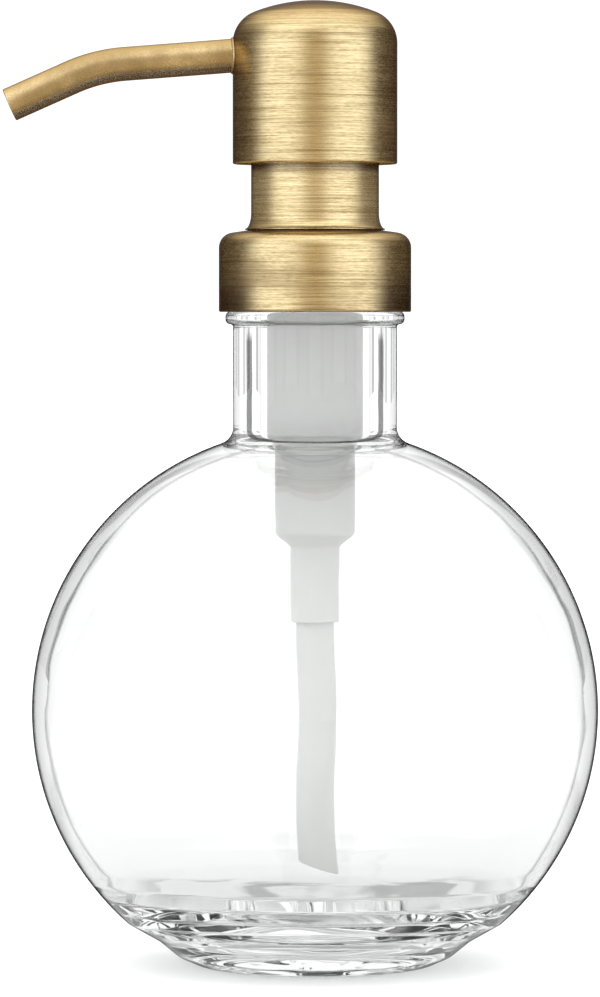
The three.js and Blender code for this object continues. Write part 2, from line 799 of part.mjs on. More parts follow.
const PIECES = [
  ["bottle", bottle, glass],
  ["neck_gasket", neckGasket, foam],
  ["pump_housing", pumpHousing, natural],
  ["valve_cage", valveCage, white],
  ["dip_tube", dipTube, natural],
  ["guide_bush", guideBush, white],
  ["neck_sleeve", neckSleeve, brass],
  ["return_spring", returnSpring, steel],
  ["collar_shell", collarShell, brass],
  ["closure_ring", closureRing, white],
  ["piston_seal", pistonSeal, white],
  ["piston_rod", pistonRod, white],
  ["upper_stem", upperStem, white],
  ["stem_washer", stemWasher, foam],
  ["inlet_ball", () => ball(INLET_BALL.radius, INLET_BALL.z), steel],
  ["outlet_ball", () => ball(OUTLET_BALL.radius, outletBallZ), steel],
  ["head_shell", headShell, brass],
  ["actuator_core", actuatorCore, white],
  ["spout_tube", spoutTube, brass],
  ["spout_liner", spoutLiner, white],
];

const dispenser = new THREE.Group();
for (const [name, make, material] of PIECES) {
  const mesh = new THREE.Mesh(geometryOf(make()), material);
  mesh.name = name;
  dispenser.add(mesh);
}
const spoutReach = -new THREE.Box3().setFromObject(dispenser).min.x;
dispenser.position.x = (spoutReach - BALL_RADIUS) / 2;

export default dispenser;
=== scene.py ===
import json
import math

import bpy
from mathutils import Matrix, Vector

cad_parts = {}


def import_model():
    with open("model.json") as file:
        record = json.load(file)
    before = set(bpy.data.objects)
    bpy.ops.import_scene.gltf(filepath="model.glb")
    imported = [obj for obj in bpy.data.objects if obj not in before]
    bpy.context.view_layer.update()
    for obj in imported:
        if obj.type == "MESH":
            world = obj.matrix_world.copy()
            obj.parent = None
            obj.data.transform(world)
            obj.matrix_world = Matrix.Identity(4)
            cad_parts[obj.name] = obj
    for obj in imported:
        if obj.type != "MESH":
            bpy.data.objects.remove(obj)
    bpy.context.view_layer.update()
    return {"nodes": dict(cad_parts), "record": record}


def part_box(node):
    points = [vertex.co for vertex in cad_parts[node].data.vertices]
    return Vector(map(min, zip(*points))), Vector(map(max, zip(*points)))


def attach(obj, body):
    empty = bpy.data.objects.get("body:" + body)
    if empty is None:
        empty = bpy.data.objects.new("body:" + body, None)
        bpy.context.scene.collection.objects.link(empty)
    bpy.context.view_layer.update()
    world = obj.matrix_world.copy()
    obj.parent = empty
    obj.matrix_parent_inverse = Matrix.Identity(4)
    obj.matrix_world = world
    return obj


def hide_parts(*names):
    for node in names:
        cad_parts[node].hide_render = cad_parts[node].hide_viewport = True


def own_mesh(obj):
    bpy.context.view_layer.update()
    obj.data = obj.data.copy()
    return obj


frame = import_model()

# The looks of a soap pump dispenser: a ball-shaped glass bottle under a brass lotion pump.
# Outlines and the sizes of pieces are in millimetres. A point of an outline is its radius and
# height, and a rounding where it has one, round the common axis of bottle and pump. Materials
# and the studio are in metres, in the frame of the CAD model.

MM = 0.001
SIDES = 192  # facets round a large piece
SMALL_SIDES = 96  # facets round a small one
FINE_STEP = 0.9  # longest stretch of an outline between two points

bottle_low, bottle_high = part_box("bottle")
AXIS_X = (bottle_low[0] + bottle_high[0]) / 2
BODIES = frame["record"]["behaviour"]["bodies"]
BODY_OF = {node: body for body, nodes in BODIES.items() for node in nodes}


# ---------------------------------------------------------------- outlines


def arc(r, z, radius, start, end, step=3):
    """Points on an arc about (r, z), from one angle to another, in degrees."""
    count = max(2, math.ceil(abs(end - start) / step))
    angles = [math.radians(start + (end - start) * i / count) for i in range(count + 1)]
    return [(r + radius * math.cos(a), z + radius * math.sin(a)) for a in angles]


def rounded(corners, step=12):
    """Points of a closed outline, with an arc at each corner that has a rounding."""
    points = []
    for i, corner in enumerate(corners):
        here = Vector(corner[:2])
        rounding = corner[2] if len(corner) > 2 else 0
        if not rounding:
            points.append(here)
            continue
        back = (Vector(corners[i - 1][:2]) - here).normalized()
        ahead = (Vector(corners[(i + 1) % len(corners)][:2]) - here).normalized()
        half = back.angle(ahead) / 2
        middle = here + (back + ahead).normalized() * rounding / math.sin(half)
        start = here + back * rounding / math.tan(half) - middle
        end = here + ahead * rounding / math.tan(half) - middle
        sweep = start.angle_signed(end)
        count = max(2, math.ceil(math.degrees(abs(sweep)) / step))
        for k in range(count + 1):
            turn = -sweep * k / count
            spun = Vector((
                start.x * math.cos(turn) - start.y * math.sin(turn),
                start.x * math.sin(turn) + start.y * math.cos(turn),
            ))
            points.append(middle + spun)
    return points


def divided(points, longest=FINE_STEP):
    """The same closed outline with no stretch longer than that. One along the axis stays whole."""
    fine = []
    for i, start in enumerate(points):
        end = points[(i + 1) % len(points)]
        on_axis = start[0] < 1e-6 and end[0] < 1e-6
        count = 1 if on_axis else max(1, math.ceil((Vector(end) - Vector(start)).length / longest))
        for k in range(count):
            fine.append(Vector(start).lerp(Vector(end), k / count))
    return fine


# ---------------------------------------------------------------- meshes


def on_axis(height):
    """The centre and the two cross directions of a turned piece at a height."""
    return Vector((AXIS_X, 0, height * MM)), Vector((1, 0, 0)), Vector((0, 1, 0))


def mesh_object(name, vertices, faces, material):
    mesh = bpy.data.meshes.new(name)
    mesh.from_pydata(vertices, [], faces)
    mesh.validate()
    mesh.materials.append(material)
    mesh.shade_smooth()
    piece = bpy.data.objects.new(name, mesh)
    bpy.context.scene.collection.objects.link(piece)
    return piece


def turned(name, corners, material, sides=SIDES, place=on_axis, shape=None, longest=FINE_STEP):
    """A closed solid swept round the axis, or round any path that place describes.

    corners run counter-clockwise, so that the faces point out. shape, where there is one,
    takes a point's radius, height and angle and returns its radius and height.
    """
    points = divided(rounded(corners), longest)
    vertices, rings = [], []
    for r, height in points:
        turns = 1 if r < 1e-6 else sides
        rings.append([len(vertices) + k % turns for k in range(sides)])
        for k in range(turns):
            angle = 2 * math.pi * k / sides
            radius, level = shape(r, height, angle) if shape else (r, height)
            centre, across, aside = place(level)
            vertices.append(centre + (across * math.cos(angle) + aside * math.sin(angle)) * radius * MM)
    faces = []
    for i, ring in enumerate(rings):
        after = rings[(i + 1) % len(rings)]
        if len(set(ring)) == 1 and len(set(after)) == 1:
            continue
        for k in range(sides):
            j = (k + 1) % sides
            face = dict.fromkeys((ring[k], ring[j], after[j], after[k]))
            if len(face) > 2:
                faces.append(tuple(face))
    return mesh_object(name, vertices, faces, material)


def sharpen(piece, degrees=35):
    """Keeps flat faces flat beside a small rounding."""
    piece.data.set_sharp_from_angle(angle=math.radians(degrees))
    weighted = piece.modifiers.new("flat_faces", "WEIGHTED_NORMAL")
    weighted.keep_sharp = True
    weighted.weight = 100


def stands_for(piece, node):
    """The piece takes a CAD node's place and body, and the node is hidden."""
    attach(piece, BODY_OF[node])
    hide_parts(node)


# ---------------------------------------------------------------- shader nodes


class Shader:
    """Builds a node tree. An input is a number, a colour, or the output of another node."""

    def __init__(self, tree):
        self.tree = tree

    def node(self, kind, inputs=None, output=0, **settings):
        made = self.tree.nodes.new(kind)
        for key, value in settings.items():
            setattr(made, key, value)
        for key, value in (inputs or {}).items():
            self.feed(made.inputs[key], value)
        return made.outputs[output]

    def feed(self, socket, value):
        if isinstance(value, bpy.types.NodeSocket):
            self.tree.links.new(value, socket)
        else:
            socket.default_value = value

    def math(self, operation, *values):
        return self.node("ShaderNodeMath", dict(enumerate(values)), operation=operation)

    def blend(self, factor, first, second):
        """The first colour where the factor is 0, the second where it is 1."""
        inputs = {0: factor, 6: first, 7: second}
        return self.node("ShaderNodeMix", inputs, 2, data_type="RGBA")

    def noise(self, vector, scale, detail=2, rough=0.5):
        inputs = {"Vector": vector, "Scale": scale, "Detail": detail, "Roughness": rough}
        return self.node("ShaderNodeTexNoise", inputs)

    def band(self, value, low, high, to_low=0, to_high=1):
        """value from low to high becomes to_low to to_high, evened off at both ends."""
        inputs = {0: value, 1: low, 2: high, 3: to_low, 4: to_high}
        return self.node("ShaderNodeMapRange", inputs, interpolation_type="SMOOTHSTEP")

    def within(self, value, low, high, soft):
        """1 from low to high, falling to 0 over soft at both ends."""
        rise = self.band(value, low - soft, low)
        return self.math("MULTIPLY", rise, self.band(value, high + soft, high))

    def stretched(self, vector, scale):
        return self.node("ShaderNodeMapping", {"Vector": vector, "Scale": scale})

    def bump(self, height, strength, depth):
        """Relief of that depth in metres."""
        inputs = {"Height": height, "Strength": strength, "Distance": depth}
        return self.node("ShaderNodeBump", inputs)


def new_material(name, colour, roughness, metallic=0):
    """A material, the builder of its nodes, and the inputs of its Principled node."""
    material = bpy.data.materials.new(name)
    material.use_nodes = True
    principled = material.node_tree.nodes["Principled BSDF"]
    principled.inputs["Base Color"].default_value = (*colour, 1)
    principled.inputs["Roughness"].default_value = roughness
    principled.inputs["Metallic"].default_value = metallic
    material.diffuse_color = (*colour, 1)
    return material, Shader(material.node_tree), principled.inputs


def place_on_axis(shader):
    """Object coordinates, measured from the axis of the bottle."""
    place = shader.node("ShaderNodeTexCoord", output=3)
    inputs = {0: place, 1: (AXIS_X, 0, 0)}
    return shader.node("ShaderNodeVectorMath", inputs, operation="SUBTRACT")


# ---------------------------------------------------------------- materials

CLEAR_GLASS = (0.985, 0.992, 0.989, 1)
PAINTED_GLASS_SHADE = (0.02, 0.02, 0.022, 1)
SHADOW_GLASS = (0.9, 0.92, 0.915, 1)
PAINTED_GLASS_EDGE_SHADE = (0.03, 0.03, 0.032, 1)
# How far glass is turned away, from 0 facing the eye to 1 seen edge on, where painted shade darkens it.
OUTLINE_TURN = (0.82, 0.9)
EDGE_TURN = (0.88, 0.96)
STROKE_TURN = (0.365, 0.445)
STREAK_TURN = (0.5, 0.7)
# Heights in metres.
NECK_HEIGHTS = (0.0945, 0.112)
STREAK_HEIGHTS = (0.0085, 0.0105)
WAVES_END = (0.08, 0.09)
# Bands of painted shade: low on the collar, and a painted shadow on the sleeve just under the head.
PAINTED_COLLAR_SHADE = (0.127, 0.118)
PAINTED_SLEEVE_SHADOW = (0.1415, 0.1437)
HEAD_EDGE = (0.14392, 0.14388)
DULL_SLEEVE = (0.1335, 0.1425)

PAINTED_SHADE_BROWN = (0.09, 0.062, 0.053, 1)  # painted shade at the brass's edges, just under the head, low on the collar and under the spout
PAINTED_AMBER = (0.5, 0.34, 0.13, 1)  # painted light: a warm tone where the brass starts to turn from the eye, and on the spout's top
EDGE_TINT = (0.45, 0.38, 0.36, 1)  # of what brass mirrors when it is seen edge on
BRUSHED_GOLD = ((0.46, 0.345, 0.16, 1), (0.93, 0.77, 0.44, 1))  # between the marks and on them
SANDED_GOLD = (0.95, 0.8, 0.48, 1)
SCORE_BROWN = (0.28, 0.19, 0.09, 1)
AGED_BROWN = (0.28, 0.19, 0.1, 1)
SATIN_GOLD = ((0.5, 0.37, 0.18, 1), (0.78, 0.6, 0.33, 1))
GRAIN_BROWN = (0.3, 0.21, 0.1, 1)


def turned_away(shader):
    """0 where a surface faces the eye, 1 where it is seen edge on."""
    return shader.node("ShaderNodeLayerWeight", {0: 0.5}, 1)


def height_of(shader, vector):
    """The upward part of a place or a direction."""
    return shader.node("ShaderNodeSeparateXYZ", {0: vector}, 2)


def painted_neck_strokes(shader, place, facing):
    """A painted dark line, slightly wavering, down each side of the neck, from wherever it is seen."""
    wander = shader.noise(shader.stretched(place, (1, 1, 0.5)), 260, 2)
    wavering = shader.math("MULTIPLY", shader.math("SUBTRACT", wander, 0.5), 0.03)
    line = shader.within(shader.math("ADD", facing, wavering), *STROKE_TURN, 0.008)
    on_neck = shader.within(height_of(shader, place), *NECK_HEIGHTS, 0.003)
    return shader.math("MULTIPLY", shader.math("MULTIPLY", on_neck, line), 0.96)


def painted_base_streaks(shader, place, facing):
    """Painted dark streaks in the thick glass of the base, at both sides from wherever it is seen."""
    streaks = shader.noise(shader.stretched(place, (70, 70, 700)), 1, 2)
    in_base = shader.within(height_of(shader, place), *STREAK_HEIGHTS, 0.0025)
    side = shader.math("MULTIPLY", in_base, shader.within(facing, *STREAK_TURN, 0.12))
    return shader.math("MULTIPLY", side, shader.band(streaks, 0.45, 0.58, 0, 0.8))


def clear_tint_and_painted_shade(shader, place, facing):
    """Clear, with dark outlines, strokes and streaks of painted shade that the white studio doesn't
    give it.
    """
    outline = shader.band(facing, *OUTLINE_TURN)
    lines = shader.math("MAXIMUM", outline, painted_neck_strokes(shader, place, facing))
    dark = shader.math("MAXIMUM", lines, painted_base_streaks(shader, place, facing))
    return shader.blend(dark, CLEAR_GLASS, PAINTED_GLASS_SHADE)


def glass():
    """Clear glass with faint drawn-out waves. Its edges are painted dark, and its shadow is faint."""
    material, shader, inputs = new_material("clear_glass", CLEAR_GLASS[:3], 0)
    inputs["Transmission Weight"].default_value = 1
    inputs["IOR"].default_value = 1.51
    place = place_on_axis(shader)
    facing = turned_away(shader)
    waves = shader.noise(shader.stretched(place, (1, 1, 1.6)), 55, 1)
    strength = shader.band(height_of(shader, place), *WAVES_END, 0.12, 0.01)
    shader.feed(inputs["Normal"], shader.bump(waves, strength, 0.0012))
    shader.feed(inputs["Base Color"], clear_tint_and_painted_shade(shader, place, facing))
    body = material.node_tree.nodes["Principled BSDF"].outputs[0]
    # Painted shade: a dark, dull shader laid over the glass where it is seen edge on.
    edge = shader.node("ShaderNodeBsdfDiffuse", {"Color": PAINTED_GLASS_EDGE_SHADE})
    at_edge = shader.band(facing, *EDGE_TURN, 0, 0.8)
    with_painted_edges = shader.node("ShaderNodeMixShader", {0: at_edge, 1: body, 2: edge})
    for_shadow = shader.node("ShaderNodeLightPath", output=1)
    unbent = shader.node("ShaderNodeBsdfTransparent", {"Color": SHADOW_GLASS})
    surface = shader.node("ShaderNodeMixShader", {0: for_shadow, 1: with_painted_edges, 2: unbent})
    shader.feed(material.node_tree.nodes["Material Output"].inputs["Surface"], surface)
    return material


def painted_dark_edges(shader, colour, facing):
    """Painted shade: amber, and then brown, where a surface turns away from the eye. It moves with the
    view.
    """
    warm = shader.blend(shader.band(facing, 0.15, 0.45, 0, 0.35), colour, PAINTED_AMBER)
    return shader.blend(shader.band(facing, 0.62, 0.95, 0, 0.85), warm, PAINTED_SHADE_BROWN)


def round_the_axis(shader, place):
    """Coordinates whose third one stays the same all the way round, on walls and on the dome."""
    x, y, z = shader.node("ShaderNodeSeparateXYZ", {0: place}).node.outputs
    squares = shader.math("ADD", shader.math("MULTIPLY", x, x), shader.math("MULTIPLY", y, y))
    level = shader.math("SUBTRACT", z, shader.math("SQRT", squares))
    return shader.node("ShaderNodeCombineXYZ", {0: x, 1: y, 2: level})


def painted_brass_shade(shader, place, facing):
    """How much painted shade browns the brass: a painted shadow just under the head, and shade low on
    the collar where it turns away.
    """
    z = height_of(shader, place)
    flanks = shader.band(facing, 0.12, 0.4)
    collar = shader.math("MULTIPLY", shader.band(z, *PAINTED_COLLAR_SHADE, 0, 0.7), flanks)
    below_head = shader.band(z, *HEAD_EDGE)
    sleeve = shader.math("MULTIPLY", shader.band(z, *PAINTED_SLEEVE_SHADOW, 0, 0.7), below_head)
    return shader.math("MAXIMUM", collar, sleeve)


def brushed_brass():
    """Antique brass: brushed round the axis, with brown left in the scores and in patches."""
    material, shader, inputs = new_material("antique_brass", (0.6, 0.46, 0.24), 0.32, 1)
    place = place_on_axis(shader)
    facing = turned_away(shader)
    rings = round_the_axis(shader, place)
    lines = shader.noise(shader.stretched(rings, (70, 70, 5200)), 1, 2, 0.75)
    scores = shader.noise(shader.stretched(rings, (28, 28, 2300)), 1, 1, 0.5)
    grain = shader.noise(shader.stretched(rings, (900, 900, 5200)), 1, 1)
    patches = shader.noise(shader.stretched(rings, (45, 45, 150)), 1, 3, 0.6)

    gold = shader.blend(shader.band(lines, 0.34, 0.66), *BRUSHED_GOLD)
    sanded = shader.blend(shader.band(grain, 0.3, 0.7, 0, 0.4), gold, SANDED_GOLD)
    scored = shader.blend(shader.band(scores, 0.58, 0.72, 0, 0.6), sanded, SCORE_BROWN)
    aged = shader.blend(shader.band(patches, 0.5, 0.75, 0, 0.45), scored, AGED_BROWN)
    # Painted shade: amber and brown where the brass turns from the eye, just under the head, and low on
    # the collar.
    with_painted_edges = painted_dark_edges(shader, aged, facing)
    shader.feed(inputs["Base Color"], shader.blend(painted_brass_shade(shader, place, facing), with_painted_edges, PAINTED_SHADE_BROWN))

    rough = shader.band(grain, 0.3, 0.7, 0.34, 0.24)
    rougher = shader.band(patches, 0.5, 0.75, 0, 0.1)
    shader.feed(inputs["Roughness"], shader.math("ADD", rough, rougher))
    relief = shader.math("ADD", lines, shader.math("MULTIPLY", grain, 0.35))
    shader.feed(inputs["Normal"], shader.bump(relief, 0.3, 0.00003))
    dull = shader.within(height_of(shader, place), *DULL_SLEEVE, 0.001)
    shader.feed(inputs["Metallic"], shader.math("SUBTRACT", 1, shader.math("MULTIPLY", dull, 0.13)))
    inputs["Specular Tint"].default_value = EDGE_TINT
    inputs["Anisotropic"].default_value = 0.5
    tangent = shader.node("ShaderNodeTangent", direction_type="RADIAL", axis="Z")
    shader.feed(inputs["Tangent"], tangent)
    return material


def satin_brass():
    """The spout's smoother antique brass: a fine sandy grain, with painted amber on top and painted
    brown shade below.
    """
    material, shader, inputs = new_material("satin_brass", (0.55, 0.42, 0.22), 0.3, 0.84)
    place = place_on_axis(shader)
    grain = shader.noise(place, 3000, 2, 0.7)
    clouds = shader.noise(place, 130, 3, 0.55)
    upward = height_of(shader, shader.node("ShaderNodeNewGeometry", output=1))

    gold = shader.blend(shader.band(clouds, 0.35, 0.7), *SATIN_GOLD)
    worn = shader.blend(shader.band(grain, 0.62, 0.38, 0, 0.35), gold, GRAIN_BROWN)
    # Painted light on the spout: dark edges where it turns from the eye, amber on its top and brown
    # shade underneath.
    with_painted_edges = painted_dark_edges(shader, worn, turned_away(shader))
    with_painted_top = shader.blend(shader.band(upward, 0.4, 0.8, 0, 0.4), with_painted_edges, PAINTED_AMBER)
    with_painted_underside = shader.blend(shader.band(upward, -0.25, -0.75, 0, 0.8), with_painted_top, PAINTED_SHADE_BROWN)
    shader.feed(inputs["Base Color"], with_painted_underside)
    shader.feed(inputs["Roughness"], shader.band(grain, 0.3, 0.7, 0.33, 0.26))
    shader.feed(inputs["Normal"], shader.bump(grain, 0.06, 0.00003))
    inputs["Specular Tint"].default_value = EDGE_TINT
    return material


def moulded(name, colour, roughness, cloud, glow=0.0):
    """Moulded plastic: slightly cloudy, with a faint orange-peel surface."""
    material, shader, inputs = new_material(name, colour, roughness)
    place = place_on_axis(shader)
    clouds = shader.noise(shader.stretched(place, (1, 1, 0.5)), 190, 2)
    darker = tuple(c * (1 - cloud) for c in colour)
    shader.feed(inputs["Base Color"], shader.blend(clouds, (*darker, 1), (*colour, 1)))
    peel = shader.noise(place, 1500, 1)
    shader.feed(inputs["Roughness"], shader.band(peel, 0.3, 0.7, roughness - 0.06, roughness + 0.06))
    shader.feed(inputs["Normal"], shader.bump(peel, 0.2, 0.00003))
    if glow:
        inputs["Subsurface Weight"].default_value = glow
        inputs["Subsurface Radius"].default_value = (1, 1, 1)
        inputs["Subsurface Scale"].default_value = 0.002
    return material


def foam():
    """Closed-cell foam of the gasket and the stop washer."""
    material, shader, inputs = new_material("gasket_foam", (0.74, 0.74, 0.7), 0.85)
    place = place_on_axis(shader)
    cells = shader.node("ShaderNodeTexVoronoi", {"Vector": place, "Scale": 3500})
    shader.feed(inputs["Base Color"], shader.blend(cells, (0.78, 0.78, 0.74, 1), (0.6, 0.6, 0.56, 1)))
    shader.feed(inputs["Roughness"], shader.band(cells, 0, 0.7, 0.95, 0.75))
    shader.feed(inputs["Normal"], shader.bump(cells, 0.5, 0.0001))
    return material


def steel():
    """Bright stainless steel with faint drawing marks."""
    material, shader, inputs = new_material("stainless_steel", (0.6, 0.61, 0.62), 0.2, 1)
    place = place_on_axis(shader)
    marks = shader.noise(shader.stretched(place, (900, 900, 3600)), 1, 2)
    shader.feed(inputs["Base Color"], shader.blend(marks, (0.5, 0.51, 0.52, 1), (0.7, 0.71, 0.72, 1)))
    shader.feed(inputs["Roughness"], shader.band(marks, 0.3, 0.7, 0.26, 0.14))
    shader.feed(inputs["Normal"], shader.bump(marks, 0.15, 0.00002))
    return material


GLASS = glass()
BRASS = brushed_brass()
SATIN = satin_brass()
NATURAL = moulded("natural_polypropylene", (0.68, 0.68, 0.675), 0.38, 0.05, 0.25)
WHITE = moulded("white_polypropylene", (0.86, 0.86, 0.84), 0.42, 0.05)
SOFT = moulded("soft_polyethylene", (0.82, 0.83, 0.81), 0.5, 0.08)
FOAM = foam()
STEEL = steel()


# ---------------------------------------------------------------- bottle

BALL_RADIUS = 51
BALL_CENTRE = 45.65
GLASS_WALL = 2.4
NECK_RADIUS = 14.75
BORE_RADIUS = 9.9
LIP = 127.4
BASE_FLOOR = 8.5  # the inside of the base
FLOOR_EDGE = 16.8  # radius within which the floor rises a little to the middle
FLOOR_RISE = 0.6
FLOOR_STEPS = 56
PITCH = 25.4 / 6
THREAD = {"root": 12.5, "crest": 13.7, "start": 119.8, "turns": 1.25, "foot": 1.2, "top": 0.45}
THREAD_FADE = 0.08  # turns over which a thread rises from its wall


def thread_rise(height, angle):
    """How far the thread's ridge stands up from its wall there, from 0 to 1."""
    rise = 0
    for lap in (0, 1):
        turn = angle / (2 * math.pi) + lap
        off = abs(height - THREAD["start"] - PITCH * turn)
        flank = (THREAD["foot"] - off) / (THREAD["foot"] - THREAD["top"])
        fade = min(turn, THREAD["turns"] - turn) / THREAD_FADE
        rise = max(rise, min(1, flank, fade))
    return rise


def hump(value, centre, width):
    return math.exp(-((value - centre) / width) ** 2)


def on_inside(r, height):
    """Whether a point of the bottle's lower outline is on its inner surface."""
    return height > 7.5 and math.hypot(r, height - BALL_CENTRE) < BALL_RADIUS - 1


def floor_wave(r, height, angle):
    """The glass is uneven over the base, with two faint rings and a mark in the middle."""
    share = min(1, (26 - height) / 12) * min(1, r / 8)
    swell = 0.14 * math.sin(3 * angle + 0.6) + 0.05 * math.sin(7 * angle + 0.25 * height)
    rings = 0.28 * hump(r, 15.6, 0.7) + 0.2 * hump(r, 12.4, 0.6)
    mark = 0.25 * hump(r, 2.4, 0.8) * (1 + math.sin(2 * angle + 1))
    out = share * min(1, max(0, (height - 8.6) / 4))
    return r + out * swell, height + share * 0.8 * swell + rings + mark


def bottle():
    inner = BALL_RADIUS - GLASS_WALL

    def angle_at(height, radius):
        return math.degrees(math.asin((height - BALL_CENTRE) / radius))

    def angle_for(r, radius):
        return math.degrees(math.acos(r / radius))

    lowest, highest = angle_at(7.6, BALL_RADIUS), angle_for(NECK_RADIUS, BALL_RADIUS)
    outside = arc(0, BALL_CENTRE, BALL_RADIUS, lowest, highest, 1.2)
    inside = arc(0, BALL_CENTRE, inner, angle_for(BORE_RADIUS, inner), angle_at(19, inner), 1.2)
    outside[-1] = (*outside[-1], 3)
    inside[0] = (*inside[0], 3.6)
    corners = [
        (0, 1.4),
        (15, 1.15, 2),
        (17.6, 0, 0.7),
        (21.4, 0, 2),
        (24.8, 1.5, 4),
        (28.35, 4.4, 0.8),
        *outside,
        (NECK_RADIUS, 115.2, 0.5),
        (16.1, 115.2, 0.9),
        (16.1, 117.5, 0.9),
        (THREAD["root"], 117.5, 0.3),
        (THREAD["root"], LIP, 0.8),
        (BORE_RADIUS, LIP, 0.8),
        *inside,
        (33.5, 8.8, 18),
        (18, BASE_FLOOR, 6),
        *[
            (FLOOR_EDGE * (1 - i / FLOOR_STEPS), BASE_FLOOR + FLOOR_RISE * i / FLOOR_STEPS)
            for i in range(FLOOR_STEPS)
        ],
        (0, BASE_FLOOR + FLOOR_RISE),
    ]

    def shape(r, height, angle):
        if height > 117.6 and r > 12.4:
            return r + (THREAD["crest"] - r) * thread_rise(height, angle), height
        if height < 26 and on_inside(r, height):
            return floor_wave(r, height, angle)
        return r, height

    piece = turned("glass_bottle", corners, GLASS, 256, shape=shape, longest=0.6)
    stands_for(piece, "bottle")


# ---------------------------------------------------------------- pump below the collar

HOUSING_RADIUS = 8.65


def pump_housing():
    corners = [
        (7.55, 129.6, 0.1),
        (7.55, 96.2, 0.3),
        (6.2, 95.0, 0.2),
        (6.2, 79.0),
        (3.0, 79.0),
        (3.0, 76.0),
        (1.6, 74.6),
        (1.6, 73.2),
        (3.52, 73.2),
        (3.52, 61.6, 0.15),
        (4.36, 61.6, 0.35),
        (4.36, 75.1, 0.8),
        (7.15, 77.4, 1.2),
        (7.25, 94.4, 0.2),
        (HOUSING_RADIUS, 94.4, 0.75),
        (HOUSING_RADIUS, 128.4, 0.2),
        (13.0, 128.4, 0.2),
        (13.0, 129.6, 0.2),
    ]
    piece = turned("cylinder_housing", corners, NATURAL, SMALL_SIDES)
    sharpen(piece)
    stands_for(piece, "pump_housing")


def dip_tube():
    radius, wall, low, high, socket = 3.45, 0.8, 17.3, 72.9, 57.6
    bow, sway = 0.45, 1.1  # to one side in the upper part, and to the other at the end
    corners = [
        (radius, low, 0.1),
        (radius, high, 0.15),
        (radius - wall, high, 0.15),
        (radius - wall, low, 0.1),
    ]
    slant = math.tan(math.radians(20))

    def bowed(height):
        """The tube is straight in its socket and bends a little below it."""
        fall = max(0, (socket - height) / (socket - low))
        end = max(0, fall - 0.55) / 0.45
        off = bow * math.sin(math.pi * fall / 0.62) + sway * end ** 1.5
        centre, across, aside = on_axis(height)
        return centre + across * off * MM, across, aside

    def cut(r, height, angle):
        share = max(0, 1 - (height - low) / 6)
        return r, height - slant * r * math.cos(angle) * share

    piece = turned("dip_tube_fine", corners, NATURAL, 64, place=bowed, shape=cut)
    sharpen(piece)
    stands_for(piece, "dip_tube")


# ---------------------------------------------------------------- brass covers

HEAD_RADIUS = 14.8


def head_shell():
    radius, low, top, crown, knuckle, wall = HEAD_RADIUS, 143.95, 173.3, 30, 6, 0.7

    def dome(inset):
        reach = radius - knuckle
        centre = top - crown
        drop = math.sqrt((crown - knuckle) ** 2 - reach ** 2)
        meeting = math.degrees(math.atan2(drop, reach))
        side = arc(reach, centre + drop, knuckle - inset, 0, meeting, 4)
        return side + arc(0, centre, crown - inset, meeting, 90, 1.5)[1:]

    corners = [
        (radius - wall, low, 0.2),
        (radius, low, 0.3),
        *dome(0),
        *reversed(dome(wall)),
    ]
    piece = turned("head_shell_fine", corners, BRASS)
    sharpen(piece)
    stands_for(piece, "head_shell")


def neck_sleeve():
    radius, wall, low, high, flare, rise, edge = 11.5, 0.5, 132.15, 148, 1.1, 2.9, 0.2
    quarter = [
        (radius + flare * (1 - math.sin(a)), low + edge + rise * (1 - math.cos(a)))
        for a in (math.radians(6 * i) for i in range(15))
    ]
    corners = [
        (radius - wall, low),
        (radius + flare, low, 0.08),
        *quarter,
        (radius, high, 0.15),
        (radius - wall, high, 0.15),
    ]
    piece = turned("neck_sleeve_fine", corners, BRASS)
    sharpen(piece)
    stands_for(piece, "neck_sleeve")


def collar_shell():
    radius, low, corner, knuckle, top, hole, wall = 17.3, 117.4, 131.3, 2.7, 132.1, 11.9, 0.8
    corners = [
        (radius - wall, low, 0.25),
        (radius, low, 0.3),
        (radius, corner, knuckle),
        (hole, top, 0.2),
        (hole, top - wall, 0.2),
        (radius - wall, corner - wall, knuckle - wall),
    ]
    piece = turned("collar_shell_fine", corners, BRASS)
    sharpen(piece)
    stands_for(piece, "collar_shell")


# ---------------------------------------------------------------- spring


def return_spring():
    """A coil of round wire, as tall as the CAD spring. The spring flattens as the head goes down, but
    this code builds it at one length.
    """
    low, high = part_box("return_spring")
    wire, radius, turns = 0.4, 4.6, 8
    bottom = low[2] / MM + wire
    rise = (high[2] - low[2]) / MM - 2 * wire
    length = 2 * math.pi * radius * turns

    def coil(along):
        angle = along / radius
        out = Vector((math.cos(angle), math.sin(angle), 0))
        ahead = Vector((-math.sin(angle), math.cos(angle), rise / length)).normalized()
        height = Vector((0, 0, bottom + rise * along / length))
        return Vector((AXIS_X, 0, 0)) + (out * radius + height) * MM, out, ahead.cross(out)

    corners = [(0, 0), (0, length), (wire, length, 0.15), (wire, 0, 0.15)]
    piece = turned("return_spring_fine", corners, STEEL, 12, place=coil, longest=0.5)
    stands_for(piece, "return_spring")
    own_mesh(piece)


# ---------------------------------------------------------------- spout

SPOUT_RADIUS = 3.05
SPOUT_ROOT = Vector((-14.6, 163.4))  # on the head's side, as x from the axis and height
SPOUT_INNER = 6.0  # how far the tube runs into the head
SPOUT_FALL = (4.35, 24)  # degrees below level, before and after the bend
SPOUT_CORNER = 24.6 / math.cos(math.radians(4.35))  # from the root to the corner of the bend
SPOUT_TIP = 17.2  # from the corner of the bend to the mouth
BEND_RADIUS = 29


